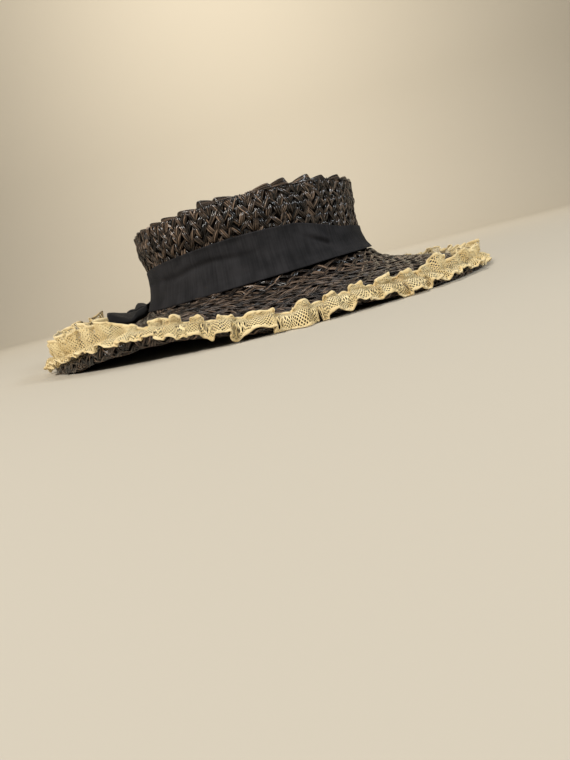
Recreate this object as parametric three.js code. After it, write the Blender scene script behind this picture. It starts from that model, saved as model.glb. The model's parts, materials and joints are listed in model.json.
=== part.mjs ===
// A woman's boater of dark plaited straw: flat-topped crown, sloping brim, plain ribbon band,
// small flat bow behind and a gathered net frill along the edge of the brim.
// Millimetres. +X is the front of the hat, +Y the wearer's left and +Z up. The origin lies on the
// table, under the middle of the brim. Every angle is turned from the front towards +Y.
import * as THREE from "three";
import { mergeVertices } from "three/addons/utils/BufferGeometryUtils.js";

// Straw brim
const BRIM_LENGTH = 336; // back edge to front edge
const BRIM_WIDTH = 320; // side edge to side edge
const BRIM_WALL = 2.8; // thickness of the sewn plait
const EDGE_ROLL = 7.6; // height of the rolled edge row where it is thickest, behind
const EDGE_FOOT = 5; // width of the flat underside of the edge row
const EDGE_ROUND = 1.4; // rounding of the edge row's outer corners
const EDGE_LIFT = 9; // how far the edge rises off the table where it waves up

// Straw crown
const CROWN_LENGTH = 167; // outside, at the waist under the band
const CROWN_WIDTH = 153;
const CROWN_HEIGHT = 56.5; // foot to the highest stretch of the rim
const CROWN_WALL = 2.8;
const CROWN_FLARE = 5; // how far the foot stands out past the waist
const CROWN_BULGE = 3.5; // how far the rows above the band stand out past the waist
const TOP_DOME = 1.5; // rise of the flat top at its middle
const FOOT_HEIGHT = 28; // brim's surface at the foot of the crown, above the table
const FOOT_RISE = 2.8; // how much higher the foot lies in front, and lower behind, than at the sides

// Plaited points along the rim
const RIM_POINTS = 28;
const POINT_HEIGHT = 4.2;
const POINT_REACH = 2.2;
const RIM_LEDGE = 4.5; // distance from the rim to where the flat top begins

// Ribbon
const RIBBON_WIDTH = 32;
const RIBBON_THICK = 1.2;
const BAND_FLARE = 2.2; // how far the band's lower edge stands off the crown
const TUCK_DEPTH = 1.6; // how far the ribbon swells beside the tuck
const BOW_TURN = 171; // where the bow sits, in degrees from the front
const LOOP_LENGTH = 34;
const LOOP_HEIGHT = 8;
const KNOT_WIDTH = 14;
const KNOT_DEPTH = 25;
const LOOP_PINCH = 20; // width of each loop where the knot gathers it
const TAIL_LENGTH = 24;
const TAIL_WIDTH = 22;
const TAIL_RIPPLE = 3; // height of the soft bend in each tail
const TAIL_SLANT = 0.6; // slant of each tail's cut end, as a share of its width
const TAIL_SPREAD = 26; // degrees between each tail and straight back

// Net frill
const FRILL_WIDTH = 20; // outer hem to inner hem
const FRILL_THICK = 1.1;
const FRILL_FOLDS = 60;
const FRILL_INSET = 8; // gather line to the edge of the brim, in front
const FOLD_DEPTH = 3.4; // swing of each hem from its mean line

// Fits
const SEAM_GAP = 0.3; // clearance between pieces that are sewn together
const LAY_GAP = 0.6; // clearance under the bow, which lies loose on the brim
const TABLE_GAP = 0.8; // least height of the frill above the table

// Steps round the hat
const BRIM_STEPS = 64;
const BAND_STEPS = 60;
const STEPS_PER_FOLD = 4;

// Steps across the ribbon of each loop, along the knot and along each tail
const LOOP_STEPS = 8;
const KNOT_STEPS = 4;
const TAIL_STEPS = 10;

const TURN = 2 * Math.PI;
const degrees = (angle) => THREE.MathUtils.radToDeg(angle);
const radians = (angle) => THREE.MathUtils.degToRad(angle);
const mix = THREE.MathUtils.lerp;

// Brim's edge round the hat: its rise as a share of EDGE_LIFT and its height as a share of EDGE_ROLL
const EDGE_LINE = [
  { turn: -180, lift: 0.62, roll: 0.9 },
  { turn: -165, lift: 0, roll: 0.95 },
  { turn: -145, lift: 0, roll: 1 },
  { turn: -122, lift: 0.72, roll: 1 },
  { turn: -107, lift: 0.98, roll: 0.9 },
  { turn: -97, lift: 0.68, roll: 0.72 },
  { turn: -90, lift: 0.32, roll: 0.62 },
  { turn: -80, lift: 0.12, roll: 0.6 },
  { turn: -70, lift: 0.36, roll: 0.6 },
  { turn: -55, lift: 0.12, roll: 0.6 },
  { turn: -35, lift: 0, roll: 0.6 },
  { turn: 35, lift: 0, roll: 0.6 },
  { turn: 75, lift: 0.5, roll: 0.6 },
  { turn: 102, lift: 0.85, roll: 0.75 },
  { turn: 126, lift: 0, roll: 0.85 },
  { turn: 142, lift: 0, roll: 0.9 },
  { turn: 160, lift: 0.85, roll: 0.9 },
  { turn: 170, lift: 0.85, roll: 0.9 },
  { turn: 180, lift: 0.62, roll: 0.9 },
];

// Fall of the brim's surface from the foot of the crown to the edge, as shares of reach and drop
const BRIM_FALL = [
  { out: 0, fall: 0 },
  { out: 0.07, fall: 0.19 },
  { out: 0.17, fall: 0.36 },
  { out: 0.39, fall: 0.53 },
  { out: 0.63, fall: 0.67 },
  { out: 0.85, fall: 0.85 },
  { out: 1, fall: 1 },
];

// Crown wall from foot to rim: height as a share of CROWN_HEIGHT, then shares of flare and bulge
const CROWN_ROWS = [
  { up: 0, flare: 1, bulge: 0 },
  { up: 0.12, flare: 0.45, bulge: 0 },
  { up: 0.3, flare: 0.08, bulge: 0 },
  { up: 0.52, flare: 0, bulge: 0 },
  { up: 0.76, flare: 0, bulge: 1 },
  { up: 0.93, flare: 0, bulge: 0.75 },
];

// Rim of the crown, the same on both sides: height as a share of CROWN_HEIGHT, points as a share of
// POINT_HEIGHT
const RIM_LINE = [
  { turn: 0, up: 0.945, point: 0.5 },
  { turn: 25, up: 0.965, point: 0.6 },
  { turn: 45, up: 0.99, point: 0.9 },
  { turn: 70, up: 1, point: 1 },
  { turn: 98, up: 0.985, point: 1 },
  { turn: 125, up: 0.955, point: 0.7 },
  { turn: 180, up: 0.93, point: 0.45 },
];

// Height of one plaited point from step to step: steep on one flank, sloping on the other
const POINT_SHAPE = [0, 1, 0.45];

// Band's edges round the hat, as shares of CROWN_HEIGHT above the foot and of RIBBON_WIDTH
const BAND_LINE = [
  { turn: 0, foot: 0.02, width: 0.54 },
  { turn: 35, foot: 0.02, width: 0.6 },
  { turn: 50, foot: 0.02, width: 0.74 },
  { turn: 66, foot: 0.01, width: 0.93 },
  { turn: 96, foot: 0, width: 1 },
  { turn: 130, foot: -0.01, width: 0.98 },
  { turn: 180, foot: 0.01, width: 0.86 },
];

// Band's section from its lower edge up: height as a share of its width, off the crown as a share
// of BAND_FLARE, and its share of the swelling beside the tuck
const BAND_ROWS = [
  { up: 0, off: 1, swell: 0 },
  { up: 0.2, off: 0.75, swell: 0.18 },
  { up: 0.45, off: 0.35, swell: 0.35 },
  { up: 0.75, off: 0.12, swell: 0.47 },
  { up: 1, off: 0, swell: 0.5 },
];

// Tuck in the band near the front, on the wearer's right: middle, spread and share of TUCK_DEPTH
const TUCK = [
  { turn: -52, spread: 9, swell: 1 },
  { turn: -41, spread: 3.5, swell: -0.5 },
  { turn: -33, spread: 7, swell: 0.7 },
];

// Frill round the hat: gather line as a share of FRILL_INSET from the edge, and the way its outer
// and inner halves lie, in degrees above straight out
const FRILL_LINE = [
  { turn: -180, inset: 0.6, outer: 8, inner: 112 },
  { turn: -140, inset: 0.7, outer: 8, inner: 118 },
  { turn: -105, inset: 0.85, outer: -6, inner: 140 },
  { turn: -92, inset: 0.45, outer: -40, inner: 141 },
  { turn: -78, inset: 0.3, outer: -62, inner: 140 },
  { turn: -66, inset: 0.7, outer: -25, inner: 138 },
  { turn: -45, inset: 1, outer: -4, inner: 125 },
  { turn: 0, inset: 1, outer: 0, inner: 118 },
  { turn: 60, inset: 0.9, outer: -6, inner: 130 },
  { turn: 120, inset: 0.8, outer: -6, inner: 130 },
  { turn: 180, inset: 0.6, outer: 8, inner: 112 },
];

// Frill across its width, hem to hem: its distance from the gather line as a share of half the
// width, outwards or inwards, how much of that half's slope it has, and its share of FOLD_DEPTH
const FRILL_ROWS = [
  { half: "outer", along: 1, slope: 1, swing: 1 },
  { half: "outer", along: 0.5, slope: 0.15, swing: 0.15 },
  { half: "inner", along: 0, slope: 1, swing: 0 },
  { half: "inner", along: 0.5, slope: 1, swing: 0.4 },
  { half: "inner", along: 1, slope: 1, swing: 1 },
];

// Slow changes that keep the folds from being all alike: waves round the hat, share and start
const FOLD_DRIFT = [
  { waves: 3, share: 0.9, start: 0.4 },
  { waves: 8, share: 0.7, start: 2.1 },
  { waves: 13, share: 0.5, start: 4.4 },
];

// Slow changes in the size of the folds, in the same way
const FOLD_GROWTH = [
  { waves: 5, share: 0.167, start: 1 },
  { waves: 17, share: 0.167, start: 0 },
];

// Outline of a bow loop, from the knot round its end and back: along its length, and up as a share
// of half its height
const LOOP_OUTLINE = [
  { along: 0, up: -0.6 },
  { along: 0.5, up: -1 },
  { along: 0.88, up: -1 },
  { along: 1, up: 0 },
  { along: 0.86, up: 1 },
  { along: 0.45, up: 0.9 },
  { along: 0, up: 0.4 },
];

// Section of the knot: across as a share of half its width, up as a share of LOOP_HEIGHT
const KNOT_OUTLINE = [
  { across: -1, up: 0 },
  { across: 1, up: 0 },
  { across: 1, up: 0.7 },
  { across: 0.6, up: 1 },
  { across: -0.6, up: 1 },
  { across: -1, up: 0.7 },
];

// Height of a bow loop across the ribbon, from the crown outwards, as a share of LOOP_HEIGHT
const LOOP_PUFF = [
  { out: 0, puff: 0.85 },
  { out: 0.28, puff: 0.9 },
  { out: 0.42, puff: 0.45 },
  { out: 0.7, puff: 1 },
  { out: 1, puff: 1.7 },
];

const MATERIALS = {
  straw: new THREE.MeshStandardMaterial({ color: 0x2b211b, roughness: 0.38, metalness: 0 }),
  ribbon: new THREE.MeshStandardMaterial({ color: 0x232226, roughness: 0.75, metalness: 0 }),
  net: new THREE.MeshStandardMaterial({ color: 0xe2cf9f, roughness: 0.85, metalness: 0 }),
};

// A smooth line through a table's rows that never swings past them.
function along(rows, key, value, at) {
  const last = rows.length - 1;
  if (at <= rows[0][key]) return rows[0][value];
  if (at >= rows[last][key]) return rows[last][value];
  const n = rows.findIndex((row) => row[key] > at) - 1;
  const slope = (k) => (rows[k + 1][value] - rows[k][value]) / (rows[k + 1][key] - rows[k][key]);
  const tangent = (k) => {
    if (k === 0 || k === last) return 0;
    const [before, after] = [slope(k - 1), slope(k)];
    return before * after <= 0 ? 0 : (2 * before * after) / (before + after);
  };
  const span = rows[n + 1][key] - rows[n][key];
  const t = (at - rows[n][key]) / span;
  const bend = t * (1 - t) * span * ((1 - t) * tangent(n) - t * tangent(n + 1));
  return mix(rows[n][value], rows[n + 1][value], t * t * (3 - 2 * t)) + bend;
}

// A straight line from row to row of a table.
function between(rows, key, value, at) {
  const n = Math.max(0, Math.min(rows.length - 2, rows.findIndex((row) => row[key] > at) - 1));
  const share = (at - rows[n][key]) / (rows[n + 1][key] - rows[n][key]);
  return mix(rows[n][value], rows[n + 1][value], Math.max(0, Math.min(1, share)));
}

// Degrees from the front, less than 0 on the wearer's right.
const turnOf = (angle) => degrees(Math.atan2(Math.sin(angle), Math.cos(angle)));

// A table's value at an angle, and one that is the same for both sides of the hat.
const round = (rows, value, angle) => along(rows, "turn", value, turnOf(angle));
const bothSides = (rows, value, angle) => along(rows, "turn", value, Math.abs(turnOf(angle)));

const HALF_CROWN = { long: CROWN_LENGTH / 2, wide: CROWN_WIDTH / 2 };
const HALF_FOOT = { long: HALF_CROWN.long + CROWN_FLARE, wide: HALF_CROWN.wide + CROWN_FLARE };
const HALF_BRIM = { long: BRIM_LENGTH / 2, wide: BRIM_WIDTH / 2 };

// One corner of a section: half length and half width of its oval, and its height.
const corner = (long, wide, high) => ({ long, wide, high });
const onCrown = (out, high) => corner(HALF_CROWN.long + out, HALF_CROWN.wide + out, high);
const onBrim = (share, high) =>
  corner(mix(HALF_FOOT.long, HALF_BRIM.long, share), mix(HALF_FOOT.wide, HALF_BRIM.wide, share), high);
const fromEdge = (inset, high) => corner(HALF_BRIM.long - inset, HALF_BRIM.wide - inset, high);

// Reach of the brim from the foot of the crown to its edge.
const BRIM_REACH = (HALF_BRIM.long + HALF_BRIM.wide - HALF_FOOT.long - HALF_FOOT.wide) / 2;

const footHeight = (angle) => FOOT_HEIGHT + FOOT_RISE * Math.cos(angle);
const edgeUnder = (angle) => EDGE_LIFT * round(EDGE_LINE, "lift", angle);
const edgeTop = (angle) => edgeUnder(angle) + EDGE_ROLL * round(EDGE_LINE, "roll", angle);

// Upper surface of the brim at a share of its reach.
function brimTop(angle, share) {
  return mix(footHeight(angle), edgeTop(angle), along(BRIM_FALL, "out", "fall", share));
}

// A closed body turned round the hat, whose section may change with the angle. A section runs
// outwards over its top and back underneath, and the lathe takes it the other way round.
function turned(steps, sectionAt) {
  const profile = sectionAt(0).map((c) => new THREE.Vector2(c.long, c.high));
  const body = new THREE.LatheGeometry(profile, steps);
  const place = body.getAttribute("position");
  for (let step = 0; step <= steps; step++) {
    const angle = (TURN * step) / steps;
    sectionAt(angle).reverse().forEach((c, n) => {
      const index = step * profile.length + n;
      place.setXYZ(index, c.long * Math.cos(angle), c.wide * Math.sin(angle), c.high);
    });
  }
  return welded(body);
}

// Shared corners are joined, so that the surface closes.
function welded(body) {
  body.deleteAttribute("normal");
  body.deleteAttribute("uv");
  const closed = mergeVertices(body, 1e-3);
  closed.computeVertexNormals();
  return closed;
}

function brimBody() {
  return turned(BRIM_STEPS, (angle) => {
    const under = edgeUnder(angle);
    const edge = edgeTop(angle);
    const rows = BRIM_FALL.slice(0, -1);
    const surface = rows.map((row) => onBrim(row.out, brimTop(angle, row.out)));
    const lip = (fall) =>
      corner(HALF_FOOT.long - CROWN_WALL, HALF_FOOT.wide - CROWN_WALL, footHeight(angle) - fall);
    const roll = [
      fromEdge(EDGE_ROUND, edge),
      fromEdge(0, edge - EDGE_ROUND),
      fromEdge(0, under + EDGE_ROUND),
      fromEdge(EDGE_ROUND, under),
      fromEdge(EDGE_ROUND + EDGE_FOOT, under),
    ];
    const back = surface.slice(1).map((c) => corner(c.long, c.wide, c.high - BRIM_WALL));
    return [lip(0), ...surface, ...roll, ...back.reverse(), lip(BRIM_WALL), lip(0)];
  });
}

// Height of the plaited points at one of the crown's steps, 0 to 1.
const CROWN_STEPS = RIM_POINTS * POINT_SHAPE.length;
const rimPoint = (angle) => POINT_SHAPE[Math.round((angle / TURN) * CROWN_STEPS) % POINT_SHAPE.length];

const rimHeight = (angle) => FOOT_HEIGHT + CROWN_HEIGHT * bothSides(RIM_LINE, "up", angle);
const TOP_HEIGHT = rimHeight(TURN / 4) + TOP_DOME;

// How far the crown stands out past its waist at a share of its height.
const crownOut = (up) =>
  CROWN_FLARE * between(CROWN_ROWS, "up", "flare", up) + CROWN_BULGE * between(CROWN_ROWS, "up", "bulge", up);

function crownBody() {
  return turned(CROWN_STEPS, (angle) => {
    const foot = footHeight(angle) + SEAM_GAP;
    const rim = rimHeight(angle);
    const point = rimPoint(angle) * bothSides(RIM_LINE, "point", angle);
    const wall = CROWN_ROWS.map((row) => onCrown(crownOut(row.up), mix(foot, rim, row.up)));
    const inside = wall.map((c) => corner(c.long - CROWN_WALL, c.wide - CROWN_WALL, c.high));
    const ceiling = rim - CROWN_WALL;
    const disc = (share, high) =>
      corner(
        share * (HALF_CROWN.long + CROWN_BULGE - RIM_LEDGE),
        share * (HALF_CROWN.wide + CROWN_BULGE - RIM_LEDGE),
        high,
      );
    return [
      disc(0, TOP_HEIGHT),
      disc(1, rim),
      onCrown(mix(CROWN_BULGE / 2, POINT_REACH + CROWN_BULGE / 2, point), rim + point * POINT_HEIGHT),
      ...wall.reverse(),
      ...inside,
      disc(1, ceiling),
      disc(0, TOP_HEIGHT - CROWN_WALL),
    ];
  });
}

// How far the ribbon swells off the crown beside the tuck, most at its upper edge.
function tuckSwell(angle) {
  const swell = (row) => row.swell * Math.exp(-(((turnOf(angle) - row.turn) / row.spread) ** 2));
  return TUCK_DEPTH * Math.max(0, TUCK.reduce((sum, row) => sum + swell(row), 0));
}

function bandBody() {
  return turned(BAND_STEPS, (angle) => {
    const foot = footHeight(angle) + CROWN_HEIGHT * bothSides(BAND_LINE, "foot", angle);
    const width = RIBBON_WIDTH * bothSides(BAND_LINE, "width", angle);
    const swell = tuckSwell(angle);
    const face = BAND_ROWS.map((row) => {
      const high = foot + width * row.up;
      const onWall = crownOut((high - footHeight(angle)) / (rimHeight(angle) - footHeight(angle)));
      const off = SEAM_GAP + RIBBON_THICK + BAND_FLARE * row.off + swell * row.swell;
      return onCrown(onWall + off, high);
    });
    const lining = face.map((c) => corner(c.long - RIBBON_THICK, c.wide - RIBBON_THICK, c.high));
    return [...face.reverse(), ...lining, face[0]];
  });
}

// Sum of a table's slow waves at an angle.
const slowWaves = (rows, angle) =>
  rows.reduce((sum, row) => sum + row.share * Math.sin(row.waves * angle + row.start), 0);

// Where the folds stand at an angle, as an angle of their own wave, and how large they are.
const foldPhase = (angle) => FRILL_FOLDS * angle + slowWaves(FOLD_DRIFT, angle);
const foldSize = (angle) => 1 + slowWaves(FOLD_GROWTH, angle);

function frillBody() {
  const half = FRILL_WIDTH / 2;
  return turned(FRILL_FOLDS * STEPS_PER_FOLD, (angle) => {
    const inset = FRILL_INSET * round(FRILL_LINE, "inset", angle);
    const seat = brimTop(angle, 1 - inset / BRIM_REACH) + SEAM_GAP + FRILL_THICK;
    const wave = Math.sin(foldPhase(angle)) * foldSize(angle);
    const strip = FRILL_ROWS.map((row) => {
      const toward = radians(row.slope * round(FRILL_LINE, row.half, angle));
      const swing = wave * row.swing * FOLD_DEPTH;
      const out = half * row.along * Math.cos(toward) - swing * Math.sin(toward);
      const up = half * row.along * Math.sin(toward) + swing * Math.cos(toward);
      return { out, up };
    });
    const under = strip.map((p) => fromEdge(inset - p.out, Math.max(TABLE_GAP, seat + p.up)));
    const face = strip.map((p, n) => {
      const [a, b] = [strip[Math.max(0, n - 1)], strip[Math.min(strip.length - 1, n + 1)]];
      const run = Math.hypot(b.out - a.out, b.up - a.up);
      const [out, up] = [(b.up - a.up) / run, (a.out - b.out) / run];
      return fromEdge(inset - p.out - out * FRILL_THICK, Math.max(TABLE_GAP, seat + p.up) + up * FRILL_THICK);
    });
    return [...face.reverse(), ...under, face[0]];
  });
}

// Puts a flat piece on the brim behind the crown: x runs out from the foot, y round the hat, z up.
function laidOnBrim(body, turn, shape = (p) => p) {
  const place = body.getAttribute("position");
  const middle = radians(turn);
  const radius = (HALF_FOOT.long + HALF_BRIM.long) / 2;
  for (let n = 0; n < place.count; n++) {
    const p = shape({ out: place.getX(n), round: place.getY(n), up: place.getZ(n) });
    const angle = middle + p.round / radius;
    const share = p.out / BRIM_REACH;
    const c = onBrim(share, brimTop(angle, share) + LAY_GAP + p.up);
    place.setXYZ(n, c.long * Math.cos(angle), c.wide * Math.sin(angle), c.high);
  }
  return welded(body);
}

// Distance from the foot of the crown to where the bow begins, clear of the band's flared edge.
const BOW_START = BAND_FLARE + RIBBON_THICK + 2 * SEAM_GAP;

// A loop of ribbon: a flat tube, open towards the crown and outwards.
function loopBody(side) {
  const outline = (inset) => {
    const start = KNOT_WIDTH / 2 + SEAM_GAP + inset;
    const length = LOOP_LENGTH - 2 * inset;
    const half = LOOP_HEIGHT / 2;
    const place = (row) => new THREE.Vector2(start + length * row.along, half + (half - inset) * row.up);
    return LOOP_OUTLINE.map(place);
  };
  const ring = new THREE.Shape(outline(0));
  ring.holes.push(new THREE.Path(outline(RIBBON_THICK)));
  const body = new THREE.ExtrudeGeometry(ring, { depth: RIBBON_WIDTH, steps: LOOP_STEPS, bevelEnabled: false });
  return laidOnBrim(axesTurned(body, side), BOW_TURN, (p) => {
    const share = p.out / RIBBON_WIDTH;
    const open = Math.min(1, Math.abs(p.round) / (KNOT_WIDTH + LOOP_LENGTH / 2));
    const gather = mix(LOOP_PINCH / RIBBON_WIDTH, 1, open);
    const puff = mix(1, along(LOOP_PUFF, "out", "puff", share), open);
    return { out: BOW_START + p.out * gather, round: p.round, up: p.up * puff };
  });
}

// An extrusion drawn in its outline's x and y and pushed along z, set with its x round the hat on
// the given side, its y up and its z outwards.
function axesTurned(body, side) {
  const place = body.getAttribute("position");
  for (let n = 0; n < place.count; n++) {
    place.setXYZ(n, place.getZ(n), side * place.getX(n), place.getY(n));
  }
  if (side > 0) return body;
  for (let n = 0; n < place.count; n += 3) {
    const [a, b] = [new THREE.Vector3(), new THREE.Vector3()];
    a.fromBufferAttribute(place, n);
    b.fromBufferAttribute(place, n + 1);
    place.setXYZ(n, b.x, b.y, b.z);
    place.setXYZ(n + 1, a.x, a.y, a.z);
  }
  return body;
}

// The knot: a pad of ribbon over the middle of the bow.
function knotBody() {
  const place = (row) => new THREE.Vector2((row.across * KNOT_WIDTH) / 2, row.up * LOOP_HEIGHT);
  const body = new THREE.ExtrudeGeometry(new THREE.Shape(KNOT_OUTLINE.map(place)), {
    depth: KNOT_DEPTH,
    steps: KNOT_STEPS,
    bevelEnabled: false,
  });
  return laidOnBrim(axesTurned(body, 1), BOW_TURN, (p) => ({ ...p, out: BOW_START + p.out }));
}

// A tail of ribbon that runs from the knot over the brim, cut aslant at its end.
function tailBody(side) {
  const body = new THREE.BoxGeometry(TAIL_LENGTH, TAIL_WIDTH, RIBBON_THICK, TAIL_STEPS, 2, 1);
  const spread = radians(TAIL_SPREAD) * side;
  const rootWidth = KNOT_WIDTH / 2 - SEAM_GAP;
  return laidOnBrim(body, BOW_TURN, (p) => {
    const run = p.out / TAIL_LENGTH + 0.5;
    const across = p.round * mix(rootWidth / TAIL_WIDTH, 1, run);
    const slant = run * side * across * TAIL_SLANT;
    const reach = run * TAIL_LENGTH + slant;
    const lift = TAIL_RIPPLE * Math.sin(run * Math.PI) ** 2 * (1 - run / 2);
    return {
      out: BOW_START + KNOT_DEPTH + SEAM_GAP + reach * Math.cos(spread),
      round: (side * KNOT_WIDTH) / 4 + reach * Math.sin(spread) + across,
      up: p.up + RIBBON_THICK / 2 + lift,
    };
  });
}

function piece(name, geometry, material) {
  const mesh = new THREE.Mesh(geometry, material);
  mesh.name = name;
  return mesh;
}

const hat = new THREE.Group();
hat.name = "boater_hat";

const straw = new THREE.Group();
straw.add(piece("brim", brimBody(), MATERIALS.straw));
straw.add(piece("crown", crownBody(), MATERIALS.straw));

const ribbon = new THREE.Group();
ribbon.add(piece("hatband", bandBody(), MATERIALS.ribbon));
ribbon.add(piece("bow_knot", knotBody(), MATERIALS.ribbon));
ribbon.add(piece("bow_loop_right", loopBody(1), MATERIALS.ribbon));
ribbon.add(piece("bow_loop_left", loopBody(-1), MATERIALS.ribbon));
ribbon.add(piece("bow_tail_right", tailBody(1), MATERIALS.ribbon));
ribbon.add(piece("bow_tail_left", tailBody(-1), MATERIALS.ribbon));

hat.add(straw, ribbon, piece("frill", frillBody(), MATERIALS.net));

export default hat;
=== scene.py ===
# %% [markdown]
# A woman's boater of dark plaited straw, with a ribbon band, a flat bow behind and a net frill along
# the brim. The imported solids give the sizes. This lesson dresses them: straws laid one by one for
# the plait, ribbon with its fine rib, and a gathered strip of net.

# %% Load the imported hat
import json

import bpy
import numpy as np
from mathutils import Matrix, Vector

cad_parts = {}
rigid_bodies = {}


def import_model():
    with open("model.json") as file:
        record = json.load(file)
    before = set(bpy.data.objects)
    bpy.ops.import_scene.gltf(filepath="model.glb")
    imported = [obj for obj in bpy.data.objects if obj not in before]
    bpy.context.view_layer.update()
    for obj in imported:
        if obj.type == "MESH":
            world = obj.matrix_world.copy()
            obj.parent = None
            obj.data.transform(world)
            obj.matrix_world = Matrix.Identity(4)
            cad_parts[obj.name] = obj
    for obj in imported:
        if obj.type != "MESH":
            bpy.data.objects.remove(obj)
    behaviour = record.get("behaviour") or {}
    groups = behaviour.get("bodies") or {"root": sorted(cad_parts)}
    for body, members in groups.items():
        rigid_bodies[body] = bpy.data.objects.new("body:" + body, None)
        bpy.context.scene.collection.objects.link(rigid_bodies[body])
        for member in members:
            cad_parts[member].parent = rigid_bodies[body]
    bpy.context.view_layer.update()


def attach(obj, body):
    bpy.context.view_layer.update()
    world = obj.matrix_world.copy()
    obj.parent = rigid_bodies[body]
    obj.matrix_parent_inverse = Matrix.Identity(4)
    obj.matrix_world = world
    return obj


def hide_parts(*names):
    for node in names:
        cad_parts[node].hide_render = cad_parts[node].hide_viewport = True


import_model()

# %% [markdown]
# The picture was taken from very near, a little above the table and with the camera leaning to one
# side. A camera can be placed by eye or by aiming it at a point. Here its three axes are written
# down, because the lean is as much a part of the view as the place.

# %% Camera
PICTURE = (570, 760)
FOCAL_PIXELS = 571
SENSOR = 36
CAMERA_EYE = (0.0355, -0.4643, 0.0327)
CAMERA_RIGHT = (0.9695, 0.0289, -0.2435)
CAMERA_UP = (0.2330, 0.2007, 0.9515)
CAMERA_BACK = (0.0764, -0.9792, 0.1878)


def add_object(name, data):
    """A new object in the scene for a mesh, a light or a camera."""
    thing = bpy.data.objects.new(name, data)
    bpy.context.scene.collection.objects.link(thing)
    return thing


camera = add_object("camera", bpy.data.cameras.new("camera"))
camera.data.sensor_width = SENSOR
camera.data.lens = SENSOR * FOCAL_PIXELS / max(PICTURE)
camera.data.clip_start = 0.01
axes = Matrix((CAMERA_RIGHT, CAMERA_UP, CAMERA_BACK)).transposed()
camera.matrix_world = Matrix.Translation(CAMERA_EYE) @ axes.to_4x4()
bpy.context.scene.camera = camera
print("lens, mm:", round(camera.data.lens, 1))

# %% [markdown]
# Every piece of the hat goes round it, so a few sizes and tables describe them all, as the maker's
# pattern would. They are those of the solids, in metres: half lengths and half widths of ovals,
# heights, and rows that say how something changes round the hat. Only the number of points along the
# rim and the lean of the crown in front are the scene's own, read from the picture later.

# %% Sizes of the hat
HALF_BRIM = (0.168, 0.160)
HALF_CROWN = (0.0835, 0.0765)
CROWN_FLARE = 0.005
CROWN_BULGE = 0.0035
CROWN_HEIGHT = 0.0565
WALL = 0.0028
TOP_DOME = 0.0015
FOOT_HEIGHT = 0.028
FOOT_RISE = 0.0028
RIM_LEDGE = 0.0045
EDGE_LIFT = 0.009
EDGE_ROLL = 0.0076
EDGE_ROUND = 0.0014
EDGE_FOOT = 0.005
POINT_HEIGHT = 0.0042
POINT_REACH = 0.0022
RIM_POINTS = 34
SEAM_GAP = 0.0003
FRONT_LEAN_DEPTH = 0.0024
FRONT_LEAN_TURN = -0.3
TAU = 2 * np.pi

# %% Tables of how things change round the hat
EDGE_LINE = np.array([
    # turn, lift, roll
    (-180, 0.62, 0.9), (-165, 0, 0.95), (-145, 0, 1), (-122, 0.72, 1), (-107, 0.98, 0.9),
    (-97, 0.68, 0.72), (-90, 0.32, 0.62), (-80, 0.12, 0.6), (-70, 0.36, 0.6), (-55, 0.12, 0.6),
    (-35, 0, 0.6), (35, 0, 0.6), (75, 0.5, 0.6), (102, 0.85, 0.75), (126, 0, 0.85),
    (142, 0, 0.9), (160, 0.85, 0.9), (170, 0.85, 0.9), (180, 0.62, 0.9),
])
BRIM_FALL = np.array([
    # out, fall
    (0, 0), (0.07, 0.19), (0.17, 0.36), (0.39, 0.53), (0.63, 0.67), (0.85, 0.85), (1, 1),
])
CROWN_ROWS = np.array([
    # up, flare, bulge
    (0, 1, 0), (0.12, 0.45, 0), (0.3, 0.08, 0), (0.52, 0, 0), (0.76, 0, 1), (0.93, 0, 0.75),
])
RIM_LINE = np.array([
    # turn, up, point
    (0, 0.945, 0.5), (25, 0.965, 0.6), (45, 0.99, 0.9), (70, 1, 1), (98, 0.985, 1),
    (125, 0.955, 0.7), (180, 0.93, 0.45),
])
FRONT_LEAN = np.array([
    # up, in
    (0, 0), (0.3, -0.2), (0.52, 0.1), (0.76, 1), (0.93, 0.55), (1, 0.4),
])
BAND_LINE = np.array([
    # turn, foot, width
    (0, 0.02, 0.54), (35, 0.02, 0.6), (50, 0.02, 0.74), (66, 0.01, 0.93), (96, 0, 1),
    (130, -0.01, 0.98), (180, 0.01, 0.86),
])


def smooth(table, column, at):
    """A smooth line through a table's rows that never swings past them."""
    places, values = table[:, 0], table[:, column]
    slope = np.diff(values) / np.diff(places)
    before, after = slope[:-1], slope[1:]
    same_way = before * after > 0
    tangent = np.zeros(len(places))
    whole = np.where(same_way, before + after, 1)
    tangent[1:-1] = np.where(same_way, 2 * before * after / whole, 0)
    n = np.clip(np.searchsorted(places, at, "right") - 1, 0, len(places) - 2)
    span = places[n + 1] - places[n]
    t = np.clip((at - places[n]) / span, 0, 1)
    blend = t * t * (3 - 2 * t)
    bend = t * (1 - t) * span * ((1 - t) * tangent[n] - t * tangent[n + 1])
    return values[n] * (1 - blend) + values[n + 1] * blend + bend


def straight(table, column, at):
    return np.interp(at, table[:, 0], table[:, column])


def turn_of(angle):
    """Degrees from the front, less than 0 on the wearer's right."""
    return np.degrees(np.arctan2(np.sin(angle), np.cos(angle)))


def one_side(table, column, angle):
    return smooth(table, column, turn_of(angle))


def both_sides(table, column, angle):
    return smooth(table, column, np.abs(turn_of(angle)))


# %% Heights and ovals
def mix(a, b, share):
    return a + (b - a) * share


def foot_height(angle):
    return FOOT_HEIGHT + FOOT_RISE * np.cos(angle)


def edge_under(angle):
    return EDGE_LIFT * one_side(EDGE_LINE, 1, angle)


def edge_top(angle):
    return edge_under(angle) + EDGE_ROLL * one_side(EDGE_LINE, 2, angle)


def rim_height(angle):
    return FOOT_HEIGHT + CROWN_HEIGHT * both_sides(RIM_LINE, 1, angle)


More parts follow.
